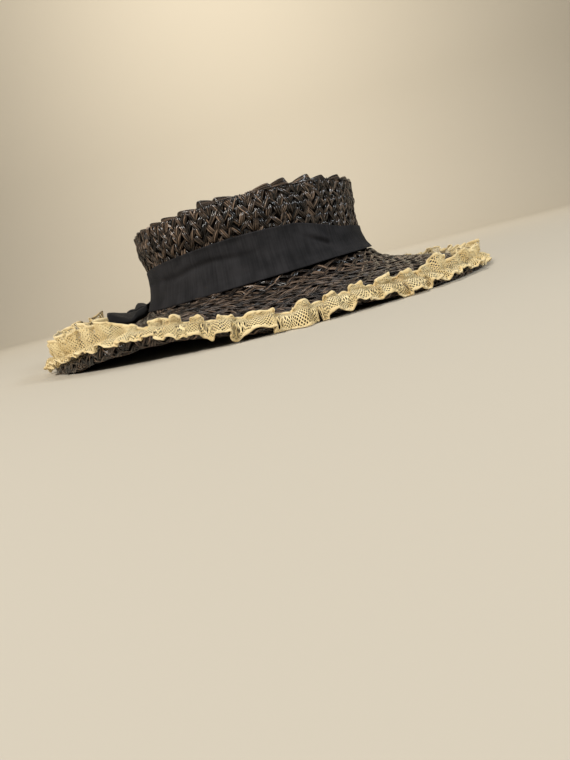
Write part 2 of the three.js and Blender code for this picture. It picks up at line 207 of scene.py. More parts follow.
TOP_HEIGHT = float(rim_height(TAU / 4)) + TOP_DOME
HALF_FOOT = tuple(half + CROWN_FLARE for half in HALF_CROWN)
REACH = (sum(HALF_BRIM) - sum(HALF_FOOT)) / 2


def crown_out(up, angle):
    """How far the wall stands out, with less of a bulge in front."""
    flare = CROWN_FLARE * straight(CROWN_ROWS, 1, up)
    front = np.maximum(0, np.cos(angle - FRONT_LEAN_TURN)) ** 2
    lean = FRONT_LEAN_DEPTH * straight(FRONT_LEAN, 1, up) * front
    return flare + CROWN_BULGE * straight(CROWN_ROWS, 2, up) - lean


def brim_top(angle, share):
    return mix(foot_height(angle), edge_top(angle), smooth(BRIM_FALL, 1, share))


def oval(halves, out, high, angle):
    """Points of an oval that stands out by a distance from another, at a height."""
    long, wide = halves[0] + out, halves[1] + out
    return np.stack(np.broadcast_arrays(long * np.cos(angle), wide * np.sin(angle), high), axis=-1)


def on_brim(angle, share):
    out = [mix(foot, edge, share) for foot, edge in zip(HALF_FOOT, HALF_BRIM)]
    return oval(out, 0, brim_top(angle, share), angle)


print("foot of the crown, mm high:", round(1000 * float(foot_height(0)), 1), "in front")
print("top of the crown, mm high:", round(1000 * TOP_HEIGHT, 1))

# %% [markdown]
# Straw, net and ribbon all lie on such a turned surface. A skin holds one as a fine grid of points
# and normals, taken outwards over the top and back underneath, so that its outer side always faces
# the air. A piece is then drawn flat, as distances round the hat and along the section, and the skin
# bends it into place. Modelling flat and bending afterwards keeps small parts easy to describe.


# %% Skins
def unit(vectors):
    """The same directions, each of length 1."""
    size = np.linalg.norm(vectors, axis=-1, keepdims=True)
    return vectors / np.maximum(size, 1e-12)


class Skin:
    """A turned surface, read by the angle round the hat and the distance along its section."""

    def __init__(self, corners, turns=720, step=0.0005):
        angle = np.arange(turns) * TAU / turns
        rows = np.stack([corner(angle) for corner in corners], axis=1)
        run = np.linalg.norm(np.diff(rows, axis=1), axis=-1).mean(axis=0)
        way = np.concatenate([[0], np.cumsum(run)])
        self.length, self.turns = way[-1], turns
        self.steps = int(self.length / step) + 2
        want = np.linspace(0, self.length, self.steps)
        n = np.clip(np.searchsorted(way, want, "right") - 1, 0, len(way) - 2)
        t = ((want - way[n]) / (way[n + 1] - way[n]))[None, :, None]
        self.points = rows[:, n] * (1 - t) + rows[:, n + 1] * t
        round_hat = np.roll(self.points, -1, axis=0) - np.roll(self.points, 1, axis=0)
        self.speed = np.linalg.norm(round_hat, axis=-1) * turns / (2 * TAU)
        self.normal = unit(np.cross(np.gradient(self.points, axis=1), round_hat))

    def _read(self, grid, angle, way):
        angle, way = np.broadcast_arrays(angle, way)
        u = np.mod(angle / TAU, 1) * self.turns
        v = np.clip(way / self.length, 0, 1) * (self.steps - 1)
        i = np.floor(u).astype(int) % self.turns
        j = np.minimum(np.floor(v).astype(int), self.steps - 2)
        s, t = u - np.floor(u), v - j
        if grid.ndim == 3:
            s, t = s[..., None], t[..., None]
        near = grid[i, j] * (1 - t) + grid[i, j + 1] * t
        far_i = (i + 1) % self.turns
        far = grid[far_i, j] * (1 - t) + grid[far_i, j + 1] * t
        return near * (1 - s) + far * s

    def at(self, angle, way, lift=0):
        point = self._read(self.points, angle, way)
        normal = self._read(self.normal, angle, way)
        lift = np.broadcast_to(lift, point.shape[:-1])
        return point + normal * lift[..., None]

    def metres_per_turn(self, angle, way):
        return np.maximum(self._read(self.speed, angle, way), 0.002)

    def girth(self, way):
        angle = np.arange(self.turns) * TAU / self.turns
        return float(self.metres_per_turn(angle, way).mean() * TAU)


def wall_corner(up, inset=0.0):
    """A ring of the crown's wall at a share of its height."""
    def ring(angle):
        high = mix(foot_height(angle) + SEAM_GAP, rim_height(angle), up)
        return oval(HALF_CROWN, crown_out(up, angle) - inset, high, angle)
    return ring


def top_corner(share, drop=0.0):
    """A ring of the crown's flat top at a share of the way out to the ledge."""
    def ring(angle):
        halves = [share * (half + CROWN_BULGE - RIM_LEDGE) for half in HALF_CROWN]
        high = mix(TOP_HEIGHT, rim_height(angle), share ** 2) - drop
        return oval(halves, 0, high, angle)
    return ring


def edge_corner(inset, share_up):
    """A ring of the rolled edge row, from its underside (0) to its top (1)."""
    def ring(angle):
        high = mix(edge_under(angle), edge_top(angle), share_up)
        return oval(HALF_BRIM, -inset, high, angle)
    return ring


def brim_corner(share, drop=0.0):
    def ring(angle):
        return on_brim(angle, share) - np.array([0, 0, drop])
    return ring


def lip_corner(drop):
    def ring(angle):
        return oval(HALF_FOOT, -WALL, foot_height(angle) - drop, angle)
    return ring


# %% The hat's skins
round_corner = EDGE_ROUND / EDGE_ROLL
top_skin = Skin([*[top_corner(s) for s in np.linspace(0.02, 1, 12)], wall_corner(1)])
side_skin = Skin([wall_corner(up) for up in (1, 0.93, 0.85, 0.76, 0.64, 0.52, 0.3, 0.12, 0)])
brim_skin = Skin([
    *[brim_corner(share) for share in np.linspace(0, 0.96, 25)],
    edge_corner(EDGE_ROUND, 1),
    edge_corner(0, 1 - round_corner),
    edge_corner(0, round_corner),
    edge_corner(EDGE_ROUND, 0),
    edge_corner(EDGE_ROUND + EDGE_FOOT, 0),
])
under_skin = Skin([
    edge_corner(EDGE_ROUND + EDGE_FOOT, 0),
    *[brim_corner(share, WALL) for share in np.linspace(0.85, 0.05, 18)],
    lip_corner(WALL),
])
inner_skin = Skin([
    wall_corner(0, WALL),
    *[wall_corner(up, WALL) for up in (0.12, 0.3, 0.52, 0.76, 0.93)],
    top_corner(1, WALL),
    *[top_corner(s, WALL) for s in np.linspace(0.95, 0.02, 11)],
])

# One more row bends over the rim, so that the top and the wall meet under straw.
rim_skin = Skin([top_corner(1), *[wall_corner(up) for up in (1, 0.93, 0.85, 0.76)]])
print("crown's wall, mm:", round(1000 * side_skin.length, 1))
print("brim with its edge, mm:", round(1000 * brim_skin.length, 1))


# %% Making meshes
def make_piece(name, points, faces, material, layers=None):
    """A mesh object that rides on the hat, with layers of values given by point."""
    mesh = bpy.data.meshes.new(name)
    mesh.from_pydata(np.asarray(points).reshape(-1, 3).tolist(), [], faces)
    for layer, values in (layers or {}).items():
        values = np.asarray(values, np.float32)
        if values.ndim == 2:
            uv = mesh.uv_layers.new(name=layer)
            corners = np.zeros(len(mesh.loops), np.int32)
            mesh.loops.foreach_get("vertex_index", corners)
            uv.data.foreach_set("uv", values[corners].ravel())
        else:
            made = mesh.attributes.new(layer, "FLOAT", "POINT")
            made.data.foreach_set("value", values)
    mesh.materials.append(material)
    mesh.shade_smooth()
    mesh.validate()
    piece = add_object(name, mesh)
    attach(piece, "root")
    return piece


def grid_faces(rings, around, closed_round=True, closed_section=False):
    """Quads between rings of points, numbered ring by ring."""
    i = np.arange(rings if closed_section else rings - 1)
    j = np.arange(around if closed_round else around - 1)
    i, j = [x.ravel() for x in np.meshgrid(i, j, indexing="ij")]
    next_i, next_j = (i + 1) % rings, (j + 1) % around
    corners = [i * around + j, next_i * around + j, next_i * around + next_j, i * around + next_j]
    return np.stack(corners, axis=-1).tolist()


def uv_of(u, v, shape):
    """UVs for a grid of points, from two values that are spread over it."""
    return np.stack([np.broadcast_to(u, shape), np.broadcast_to(v, shape)], axis=-1).reshape(-1, 2)


# %% [markdown]
# The straw is split straw: flat, lightly ribbed along its length, dyed brown-black and varnished, so
# that it shines where it turns over. Colour and gloss could be painted on, but every straw differs.
# So each straw carries a number, its tone, and the material turns that number into its colour.
# Painted shade darkens each straw along its edges, in the grooves between straws, and towards its
# ends, where it tucks under others.


# %% Shader helpers
class Wire:
    """Adds, sets and joins the nodes of a material or of a node group."""

    def __init__(self, tree):
        self.nodes, self.links = tree.nodes, tree.links

    def feed(self, node, values):
        """Sets inputs, by name or number, from other nodes or to plain values."""
        for socket, value in values.items():
            if isinstance(value, bpy.types.NodeSocket):
                self.links.new(value, node.inputs[socket])
            else:
                node.inputs[socket].default_value = value
        return node.outputs

    def add(self, kind, values):
        return self.feed(self.nodes.new(kind), values)

    def math(self, operation, *values, clamp=False):
        node = self.nodes.new("ShaderNodeMath")
        node.operation, node.use_clamp = operation, clamp
        return self.feed(node, dict(enumerate(values)))[0]

    def parts(self, vector):
        return self.add("ShaderNodeSeparateXYZ", {0: vector})

    def noise(self, **values):
        return self.add("ShaderNodeTexNoise", values)[0]

    def uv(self, name):
        node = self.nodes.new("ShaderNodeUVMap")
        node.uv_map = name
        return node.outputs[0]

    def place(self, group, **values):
        """A node group with its own values."""
        node = self.nodes.new("ShaderNodeGroup")
        node.node_tree = group
        return self.feed(node, values)

    def ramp(self, share, *stops):
        """A colour from a number, by stops of a place and a colour."""
        node = self.nodes.new("ShaderNodeValToRGB")
        marks = node.color_ramp.elements
        for mark, (place, colour) in ((marks[0], stops[0]), (marks[1], stops[-1])):
            mark.position, mark.color = place, (*colour, 1)
        for place, colour in stops[1:-1]:
            marks.new(place).color = (*colour, 1)
        return self.feed(node, {0: share})[0]

    def bump(self, height, strength, distance):
        values = {"Strength": strength, "Distance": distance, "Height": height}
        return self.add("ShaderNodeBump", values)[0]


def new_material(name):
    material = bpy.data.materials.new(name)
    material.use_nodes = True
    tree = material.node_tree
    return material, Wire(tree), tree.nodes["Principled BSDF"]


def new_group(name, inputs, outputs):
    """A shader node group with named sockets: the group, its wire, its inputs and its exit."""
    group = bpy.data.node_groups.new(name, "ShaderNodeTree")
    for socket, kind, value in inputs:
        made = group.interface.new_socket(socket, in_out="INPUT", socket_type=kind)
        if value is not None:
            made.default_value = value
    for socket in outputs:
        group.interface.new_socket(socket, in_out="OUTPUT", socket_type="NodeSocketFloat")
    entry = group.nodes.new("NodeGroupInput")
    return group, Wire(group), entry.outputs, group.nodes.new("NodeGroupOutput")


# %% Fine lines along a fibre
def build_fibre_lines():
    """Noise drawn out along the second UV direction: the grain of straw and of thread."""
    group, wire, given, leave = new_group(
        "fibre_lines",
        [("UV", "NodeSocketVector", None), ("Across", "NodeSocketFloat", 8.0),
         ("Along", "NodeSocketFloat", 0.6), ("Detail", "NodeSocketFloat", 3.0)],
        ["Lines"],
    )
    flat = wire.parts(given["UV"])
    across = wire.math("MULTIPLY", flat[0], given["Across"])
    along = wire.math("MULTIPLY", flat[1], given["Along"])
    drawn_out = wire.add("ShaderNodeCombineXYZ", {0: across, 1: along})[0]
    lines = wire.noise(Scale=1.0, Vector=drawn_out, Detail=given["Detail"])
    wire.feed(leave, {"Lines": lines})
    return group


fibre_lines = build_fibre_lines()
print("fibre lines:", len(fibre_lines.nodes), "nodes")

# %% Straw
STRAW_DARK = (0.002, 0.0014, 0.001)
STRAW_LIGHT = (0.32, 0.215, 0.145)
STRAW_SHADES = ((0, 0), (0.4, 0.13), (0.7, 0.38), (1, 1))
STRAW_ROUGHNESS = 0.27
STRAW_COAT = 0.75
# How sharply the painted shade in the grooves between straws falls off
GROOVE_SHADE_POWER = 2.4


def build_straw():
    """Dyed, varnished straw whose colour comes from each straw's tone, with painted shade in the grooves
    between straws.
    """
    material, wire, shader = new_material("plaited_straw")
    tone = wire.nodes.new("ShaderNodeAttribute")
    tone.attribute_name = "tone"
    flat = wire.uv("straw")
    lines = wire.place(fibre_lines, UV=flat, Across=9.0, Along=0.7)[0]
    shade = wire.math("MULTIPLY_ADD", lines, 0.5, -0.25)
    shade = wire.math("ADD", shade, tone.outputs["Fac"], clamp=True)
    # Painted shade: each straw is darker towards its two long edges, in the grooves between straws. The
    # same mask keeps the coat out of the grooves.
    across = wire.math("FRACT", wire.parts(flat)[0])
    edge = wire.math("ABSOLUTE", wire.math("MULTIPLY_ADD", across, 2.0, -1.0))
    painted_groove_shade = wire.math("POWER", edge, GROOVE_SHADE_POWER)
    open_top = wire.math("SUBTRACT", 1.0, painted_groove_shade, clamp=True)
    stops = [
        (place, [mix(dark, light, share) for dark, light in zip(STRAW_DARK, STRAW_LIGHT)])
        for place, share in STRAW_SHADES
    ]
    wire.feed(shader, {
        "Base Color": wire.ramp(wire.math("MULTIPLY", shade, open_top), *stops),
        "Roughness": wire.math("MULTIPLY_ADD", lines, 0.24, STRAW_ROUGHNESS - 0.12),
        "Specular IOR Level": 0.15,
        "Coat Weight": wire.math("MULTIPLY", open_top, STRAW_COAT),
        "Coat Roughness": 0.13,
        "Normal": wire.bump(lines, 0.5, 0.0004),
    })
    return material


straw = build_straw()
print("straw:", len(straw.node_tree.nodes), "nodes")


# %% Shade between the straws
def build_shade():
    """Painted shade for the depth of the plait: nearly black, dull, a little uneven."""
    material, wire, shader = new_material("straw_shade")
    cloud = wire.noise(Scale=400)
    wire.feed(shader, {
        "Base Color": wire.ramp(cloud, (0, (0.0015, 0.0012, 0.001)), (1, (0.007, 0.005, 0.004))),
        "Roughness": 0.9,
        "Specular IOR Level": 0.02,
    })
    return material


straw_shade = build_shade()

# %% [markdown]
# Under the straws lies a closed dark body of the same shape, a little smaller. Seen through the gaps
# of the plait it is a painted shade between straws, and it keeps light from shining through the crown.
# It could be left out and the straws laid double, at twice the cost.

# %% Dark body of the brim
SHELL_DEPTH = 0.0007
AROUND = 180


def rings_of(skin, count):
    """Rings of points a little below a skin."""
    angle = (np.arange(AROUND) * TAU / AROUND)[None, :]
    way = np.linspace(0, skin.length, count)[:, None]
    return skin.at(angle, way, -SHELL_DEPTH)


brim_rings = np.concatenate([rings_of(brim_skin, 60), rings_of(under_skin, 24)[1:]])
brim_faces = grid_faces(len(brim_rings), AROUND, closed_section=True)
brim_shell = make_piece("brim_body", brim_rings, brim_faces, straw_shade)
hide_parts("brim")
print("faces of the brim's dark body:", len(brim_faces))


# %% Dark body of the crown
def closed_ends(rings):
    """Points and faces of a row of rings whose first and last ring are closed by a fan."""
    count, around = rings.shape[:2]
    faces = grid_faces(count, around)
    middle, end = count * around, (count - 1) * around
    for j in range(around):
        after = (j + 1) % around
        faces.append([middle, j, after])
        faces.append([middle + 1, end + after, end + j])
    return np.concatenate([rings.reshape(-1, 3), rings[[0, -1]].mean(axis=1)]), faces


crown_points, crown_faces = closed_ends(np.concatenate([
    rings_of(top_skin, 16),
    rings_of(side_skin, 24)[1:],
    rings_of(inner_skin, 36),
]))
crown_shell = make_piece("crown_body", crown_points, crown_faces, straw_shade)
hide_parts("crown")
print("faces of the crown's dark body:", len(crown_faces))

# %% [markdown]
# The plait runs in rows round the hat, each row a chain of leaning bundles of three or four straws,
# turn about to the left and to the right, so that they pass over and under each other. A texture
# would do for a hat seen far off. Here each straw is a strip of its own, arched across and bent down
# at its ends, because light has to catch on single straws.

# %% Straws
STRAW_WIDTH = 0.001
STRAW_ARCH = 0.36
STRAW_ON_TABLE = 0.0001
SECTION = np.array([-1.0, -0.45, 0.45, 1.0])
SECTION_FALL = np.array([1.0, 0.12, 0.12, 1.0])
UV_APART = 7


def as_strips(points, across, length, tone):
    """Points, faces, UVs and tones of strips whose points have shape (strips, steps, wide, 3)."""
    shape = count, steps, wide = points.shape[:3]
    k, s = [v.ravel() for v in np.meshgrid(np.arange(steps - 1), np.arange(wide - 1), indexing="ij")]
    quad = np.stack([k * wide + s, k * wide + s + 1, (k + 1) * wide + s + 1, (k + 1) * wide + s], -1)
    faces = (np.arange(count)[:, None, None] * steps * wide + quad).reshape(-1, 4)
    uv = uv_of(across + np.arange(count)[:, None, None] * UV_APART, length, shape)
    return points.reshape(-1, 3), faces, uv, np.broadcast_to(tone, shape).ravel()


def lay_straws(skin, angle, way, x, y, lift, width, tone):
    """Strips along paths drawn flat from each straw's own place: x round the hat, y along it."""
    run_x, run_y = np.gradient(x, axis=1), np.gradient(y, axis=1)
    run = np.maximum(np.hypot(run_x, run_y), 1e-9)
    arch = STRAW_ARCH * width[:, None, None] * SECTION_FALL
    half = width[:, None, None] / 2 * SECTION
    flat_x = x[..., None] - (run_y / run)[..., None] * half
    flat_y = y[..., None] + (run_x / run)[..., None] * half
    speed = skin.metres_per_turn(angle, way)[:, None, None]
    points = skin.at(
        angle[:, None, None] + flat_x / speed,
        way[:, None, None] + flat_y,
        lift[..., None] - arch,
    )
    points[..., 2] = np.maximum(points[..., 2], STRAW_ON_TABLE)
    length = np.concatenate([np.zeros((len(x), 1)), np.cumsum(run[:, 1:], axis=1)], axis=1)
    return as_strips(points, (SECTION + 1) / 2, length[..., None] / STRAW_WIDTH, tone[..., None])


def straw_piece(name, strips):
    """One piece from several results of as_strips."""
    points, faces, uvs, tones = zip(*strips)
    starts = np.cumsum([0, *[len(part) for part in points[:-1]]])
    faces = np.concatenate([part + start for part, start in zip(faces, starts)])
    print(f"{name}: {2 * len(faces)} triangles")
    layers = {"straw": np.concatenate(uvs), "tone": np.concatenate(tones)}
    return make_piece(name, np.concatenate(points), faces.tolist(), straw, layers)


# %% Rows of bundles
# Rows and cells are in metres, bundle counts straws, lean is in degrees and fill is a share.
CROWN_ROWS_OF = {"row": 0.0055, "cell": 0.0044, "bundle": 3, "lean": 60, "puff": 0.0011, "fill": 0.95}
BRIM_ROWS_OF = {"row": 0.0052, "cell": 0.0064, "bundle": 3, "lean": 33, "puff": 0.0014, "fill": 1.15}
EDGE_ROWS_OF = {"row": 0.0036, "cell": 0.0062, "bundle": 3, "lean": 32, "puff": 0.0010, "fill": 0.97}
HIDDEN_ROWS_OF = {"row": 0.0072, "cell": 0.0090, "bundle": 4, "lean": 58, "puff": 0.0008, "fill": 1.0}
PATH_STEPS = 6
OVERLAP = 1.5
TAPER = 0.22
CROSS_LIFT, ROUND_LIFT, STRAW_SINK = 0.0004, 0.0003, 0.0004
FULL_ROW = 0.0064
# The second value is painted shade: how much darker a straw grows towards its ends, where it tucks under
# others.
TONE, PAINTED_END_SHADE = 0.50, 0.45
TURN_NOISE, WAY_NOISE, LEAN_NOISE = 0.18, 0.09, 8
REACH_NOISE, SLANT_NOISE, ARC_NOISE = 0.09, 0.06, 0.0005
BUNDLE_LIFT_NOISE, STRAW_LIFT_NOISE = 0.0003, 0.00022
BUNDLE_TONE_NOISE, STRAW_TONE_NOISE = 0.14, 0.32


def lay_rows(skin, first, last, chance, row, cell, shown=None, **plait):
    """Rows of leaning bundles between two distances along a section."""
    rows = max(1, round((last - first) / row))
    row = (last - first) / rows
    strips = []
    for k in range(rows):
        middle = first + (k + 0.5) * row
        cells = max(4, round(skin.girth(middle) / cell / 2)) * 2
        j = np.arange(cells)
        lean_sign = np.where(j % 2 == 0, 1.0, -1.0)
        angle = TAU * (j + 0.25 * k + chance.uniform(-TURN_NOISE, TURN_NOISE, cells)) / cells
        way = middle + chance.uniform(-WAY_NOISE, WAY_NOISE, cells) * row
        if shown is not None:
            keep = shown(angle, way)
            angle, way, lean_sign = angle[keep], way[keep], lean_sign[keep]
        if len(angle):
            strips.append(lay_bundles(skin, angle, way, lean_sign, chance, row, cell, **plait))
    return strips


def lay_bundles(skin, angle, way, lean_sign, chance, row, cell, bundle, lean, puff, fill):
    """Bundles of straws, each drawn flat about its own place and laid on the skin."""
    count = len(angle)
    shape = (count, bundle)
    lean = np.radians(lean + chance.normal(0, LEAN_NOISE, count))[:, None]
    half = row * OVERLAP / 2 / np.sin(lean)
    pitch = cell * 1.02 / bundle
    order = np.arange(bundle) - (bundle - 1) / 2
    t = np.linspace(-1, 1, PATH_STEPS)
    lean_sign = lean_sign[:, None, None]
    reach = half[..., None] * (1 + chance.normal(0, REACH_NOISE, shape))[..., None]
    slant = lean[..., None] + chance.normal(0, SLANT_NOISE, shape)[..., None]
    arc = ARC_NOISE * chance.normal(0, 1, count)[:, None, None]
    spread = (order * pitch)[None, :, None] * (1 - TAPER * t * t)
    x = lean_sign * t * reach * np.cos(slant) + spread + arc * (1 - t * t)
    stagger = 0.1 * row * lean_sign * order[None, :, None] / bundle
    y = t * reach * np.sin(slant) + stagger
    over = np.where(lean_sign > 0, 1, -1) * t * CROSS_LIFT
    rounded = ROUND_LIFT * (1 - (order / (bundle / 2)) ** 2)[None, :, None]
    small = min(1, row / FULL_ROW)
    lift = small * (over + rounded - STRAW_SINK + puff * (1 - 1.25 * t * t))
    lift = lift + small * chance.normal(0, BUNDLE_LIFT_NOISE, count)[:, None, None]
    lift = lift + chance.normal(0, STRAW_LIFT_NOISE, shape)[..., None]
    tone = chance.normal(TONE, BUNDLE_TONE_NOISE, count)[:, None]
    tone = tone + chance.normal(0, STRAW_TONE_NOISE, shape)
    # Painted shade: each straw's tone falls towards its ends, where they tuck under the next bundles.
    tone = np.clip(tone[..., None] - PAINTED_END_SHADE * np.abs(t) ** 3, 0.0, 1)
    width = pitch * np.sin(lean) * fill * chance.uniform(0.85, 1.1, shape)
    flat = [value.reshape(-1, PATH_STEPS) for value in (x, y, lift, tone)]
    return lay_straws(
        skin, np.repeat(angle, bundle), np.repeat(way, bundle), *flat[:3], width.ravel(), flat[3])


# %% Plait of the crown
RIBBON_WIDTH = 0.032
BAND_COVER = 0.0028
TOP_PLAIT = 0.0781
RIM_ROW = (0.0012, 0.0074)


def band_foot(angle):
    return foot_height(angle) + CROWN_HEIGHT * both_sides(BAND_LINE, 1, angle)


def band_top(angle):
    return band_foot(angle) + RIBBON_WIDTH * both_sides(BAND_LINE, 2, angle)


def above_band(angle, way):
    """Bundles that would be hidden under the band are left out."""
    return side_skin.at(angle, way)[..., 2] > band_top(angle) - BAND_COVER


chance = np.random.default_rng(11)
side_rows = lay_rows(side_skin, 0.0006, side_skin.length, chance, shown=above_band, **CROWN_ROWS_OF)
side_rows += lay_rows(rim_skin, *RIM_ROW, chance, **CROWN_ROWS_OF)
straw_piece("crown_plait", side_rows)
straw_piece("crown_top_plait", lay_rows(
    top_skin, top_skin.length - TOP_PLAIT, top_skin.length - 0.0006, chance, **CROWN_ROWS_OF))

# %% Plait of the brim
brim_start = 0.001
brim_middle = brim_start + 8 * BRIM_ROWS_OF["row"]
edge_start = brim_skin.length - EDGE_FOOT - EDGE_ROLL * 0.75
edge_end = brim_skin.length - 0.0015
straw_piece("brim_plait", lay_rows(brim_skin, brim_start, brim_middle, chance, **BRIM_ROWS_OF))
straw_piece("brim_outer_plait", lay_rows(brim_skin, brim_middle, edge_start, chance, **BRIM_ROWS_OF))
straw_piece("brim_edge_plait", lay_rows(brim_skin, edge_start, edge_end, chance, **EDGE_ROWS_OF))

# %% Plait on the hidden sides
straw_piece("brim_under_plait", lay_rows(
    under_skin, 0.001, under_skin.length - 0.001, chance, **HIDDEN_ROWS_OF))
straw_piece("crown_inner_plait", lay_rows(
    inner_skin, 0.002, inner_skin.length - 0.006, chance, **HIDDEN_ROWS_OF))

# %% [markdown]
# Along the rim of the crown the plait ends in points: loops of straw that rise slowly and turn down
# steeply, one after the other. Each is a nest of straws that follow the same arc, the outer one
# highest. A zigzag cut from a sheet would be simpler and would look like paper.

# %% Points along the rim
POINT_STRAWS = 7
POINT_WIDTH, POINT_BEND = 0.0011, 0.0004
POINT_BACK = 0.0006
POINT_TURNED = (-88, 95)
POINT_RISE = np.array([
    # along, rise
    (0, -0.4), (0.035, 0.12), (0.07, 0.46), (0.1, 0.72), (0.13, 0.9), (0.18, 1), (0.28, 0.98),
    (0.42, 0.84), (0.58, 0.64), (0.74, 0.4), (0.88, 0.1), (1, -0.3),
])


def lay_points(chance):
    """Lines of points for the straws, steep at one end, and on the near side at the other."""
    step = TAU / RIM_POINTS
    t, rise = POINT_RISE.T
    angle = np.arange(RIM_POINTS) * step + chance.normal(0, 0.03, RIM_POINTS)
    turn_back = (turn_of(angle) > POINT_TURNED[0]) & (turn_of(angle) < POINT_TURNED[1])
    t = np.where(turn_back[:, None], 1 - t[::-1], t)[:, None, :]
    rise = np.where(turn_back[:, None], rise[::-1], rise)[:, None, :]
    size = both_sides(RIM_LINE, 2, angle + step / 3) * chance.uniform(0.6, 1.0, RIM_POINTS)
    size = size[:, None, None]
    share = ((np.arange(POINT_STRAWS) + 0.6) / (POINT_STRAWS - 0.4))[None, :, None]
    turn = angle[:, None, None] + step * (0.02 + 1.04 * t)
    turn = turn + step * 0.12 * (1 - share)
    high = POINT_HEIGHT * size * share * rise
    lean = POINT_REACH * size * (0.35 + 0.65 * share)
    out = CROWN_BULGE / 2 + lean * np.maximum(rise, 0) + POINT_WIDTH * (1 - share)
    return oval(HALF_CROWN, out, rim_height(turn) + high, turn).reshape(-1, len(POINT_RISE), 3)


def strip_along(line, facing, tone):
    """Strips with their own arch along lines of points, facing a direction."""
    across = unit(np.cross(facing, unit(np.gradient(line, axis=-2))))
    points = (
        line[..., None, :]
        + across[..., None, :] * (POINT_WIDTH / 2 * SECTION)[:, None]
        - facing[..., None, :] * (POINT_BEND * SECTION_FALL)[:, None]
    )
    steps = np.arange(line.shape[1])[None, :, None]
    return as_strips(points, np.linspace(0, 1, len(SECTION)), steps, tone[:, None, None])


point_lines = lay_points(chance)
outward = unit(point_lines * np.array([1 / HALF_CROWN[0] ** 2, 1 / HALF_CROWN[1] ** 2, 0]))
facing = unit(outward * 0.9 + np.array([0, 0, 0.45]))
point_tone = np.clip(chance.normal(0.42, 0.22, len(point_lines)), 0.0, 0.95)
straw_piece("crown_rim_points", [
    strip_along(point_lines, facing, point_tone),
    strip_along(point_lines - facing * POINT_BACK, -facing, point_tone),
])

# %% [markdown]
# The band is plain ribbon with a fine rib across it, drawn round the crown. Its lower edge stands a
# little off the straw, and its ends meet in a tuck near the front. It is a closed strip, bent by the
# same tables as the crown, and its rib is bump: threads of less than half a millimetre are too fine
# to model.


# %% Ribbon material
def build_rib():
    """Fine ribs of a ribbon, as a height, and slow cloudy wear, as a mask."""
    group, wire, given, leave = new_group(
        "ribbon_rib",
        [("UV", "NodeSocketVector", None), ("Pitch", "NodeSocketFloat", 0.0004)],
        ["Rib", "Wear"],
    )
    flat = wire.parts(given["UV"])
    turns, thread = [wire.math("DIVIDE", flat[n], given["Pitch"]) for n in (0, 1)]
    wave = wire.math("SINE", wire.math("MULTIPLY", turns, TAU))
    cross = wire.math("SINE", wire.math("MULTIPLY", thread, TAU * 0.7))
    height = wire.math("MULTIPLY_ADD", cross, 0.3, wave)
    wire.feed(leave, {
        "Rib": wire.math("MULTIPLY_ADD", height, 0.35, 0.5),
        "Wear": wire.noise(Scale=70, Detail=5, Vector=given["UV"]),
    })
    return group


ribbon_rib = build_rib()


def build_ribbon(name, dark, light, roughness):
    """Ribbon whose colour is made of its rib, its threads and its wear; the rib darkens its furrows as
    painted shade.
    """
    material, wire, shader = new_material(name)
    flat = wire.uv("ribbon")
    rib, wear = wire.place(ribbon_rib, UV=flat)
    threads = wire.place(fibre_lines, UV=flat, Across=800.0, Along=45.0, Detail=2.0)[0]
    # Painted shade: the rib's height also lightens its ridges and darkens its furrows.
    shade = wire.math("MULTIPLY_ADD", rib, 0.35, -0.85)
    shade = wire.math("MULTIPLY_ADD", wear, 1.6, shade)
    shade = wire.math("MULTIPLY_ADD", threads, 0.9, shade)
    wire.feed(shader, {
        "Base Color": wire.ramp(shade, (0.25, dark), (0.85, light)),
        "Roughness": wire.math("MULTIPLY_ADD", wear, 0.2, roughness - 0.1),
        "Sheen Weight": 0.04,
        "Sheen Roughness": 0.4,
        "Specular IOR Level": 0.22,
        "Normal": wire.bump(rib, 0.5, 0.00015),
    })
    return material


ribbon = build_ribbon("charcoal_ribbon", (0.007, 0.0067, 0.0075), (0.027, 0.0255, 0.027), 0.85)
bow_ribbon = build_ribbon("black_ribbon", (0.003, 0.003, 0.0035), (0.010, 0.0095, 0.011), 0.7)
print("each ribbon:", len(ribbon.node_tree.nodes), "nodes")

# %% Band
BAND_LENGTH = 0.520
BAND_CLEAR = 0.0012
BAND_FLARE = 0.0022
BAND_RIPPLE = 0.0003
BAND_TURNS, BAND_ROWS = 900, 32
RIBBON_THICK = 0.0006
SAG = {"depth": 0.0015, "high": 0.62, "wide": 0.075, "turn": -122, "spread": 38}
TUCK_DEPTH = 0.0016
TUCK = ((-52, 9, 1.0), (-41, 3.5, -0.5), (-33, 7, 0.7))
BAND_OFF = np.array([
    # up, off, swell
    (0, 1, 0), (0.2, 0.75, 0.18), (0.45, 0.35, 0.35), (0.75, 0.12, 0.47), (1, 0, 0.5),
])
CREASE = {"from": (-66.0, 0.0235), "to": (-49.0, 0.0108), "depth": 0.0013, "wide": 0.0027}
CREASE_LIMIT = -0.0011
SEAM_TURN, SEAM_STEP = -48.5, 0.0006


def tuck_swell(angle):
    turn = turn_of(angle)
    swell = sum(size * np.exp(-((turn - middle) / spread) ** 2) for middle, spread, size in TUCK)
    return TUCK_DEPTH * np.maximum(0, swell)


def crease(angle, above_foot):
    """A pinch in the ribbon that runs down to the seam, and the step where its end laps over."""
    turn = turn_of(angle)
    (start, high), (end, low) = CREASE["from"], CREASE["to"]
    along = (turn - start) / (end - start)
    line = mix(high, low, along)
    across = (above_foot - line) / CREASE["wide"]
    fade = np.clip(along * 1.6, 0, 1) * np.clip((1.03 - along) * 12, 0, 1) * np.clip(along + 0.3, 0, 1)
    pinch = fade * (0.9 * np.exp(-(across - 1.1) ** 2) - np.exp(-(across ** 2) * 1.6))
    lap = np.clip((turn - SEAM_TURN) / 0.35, 0, 1) * np.clip((turn + 18) / -24, 0, 1)
    return CREASE["depth"] * pinch + SEAM_STEP * lap


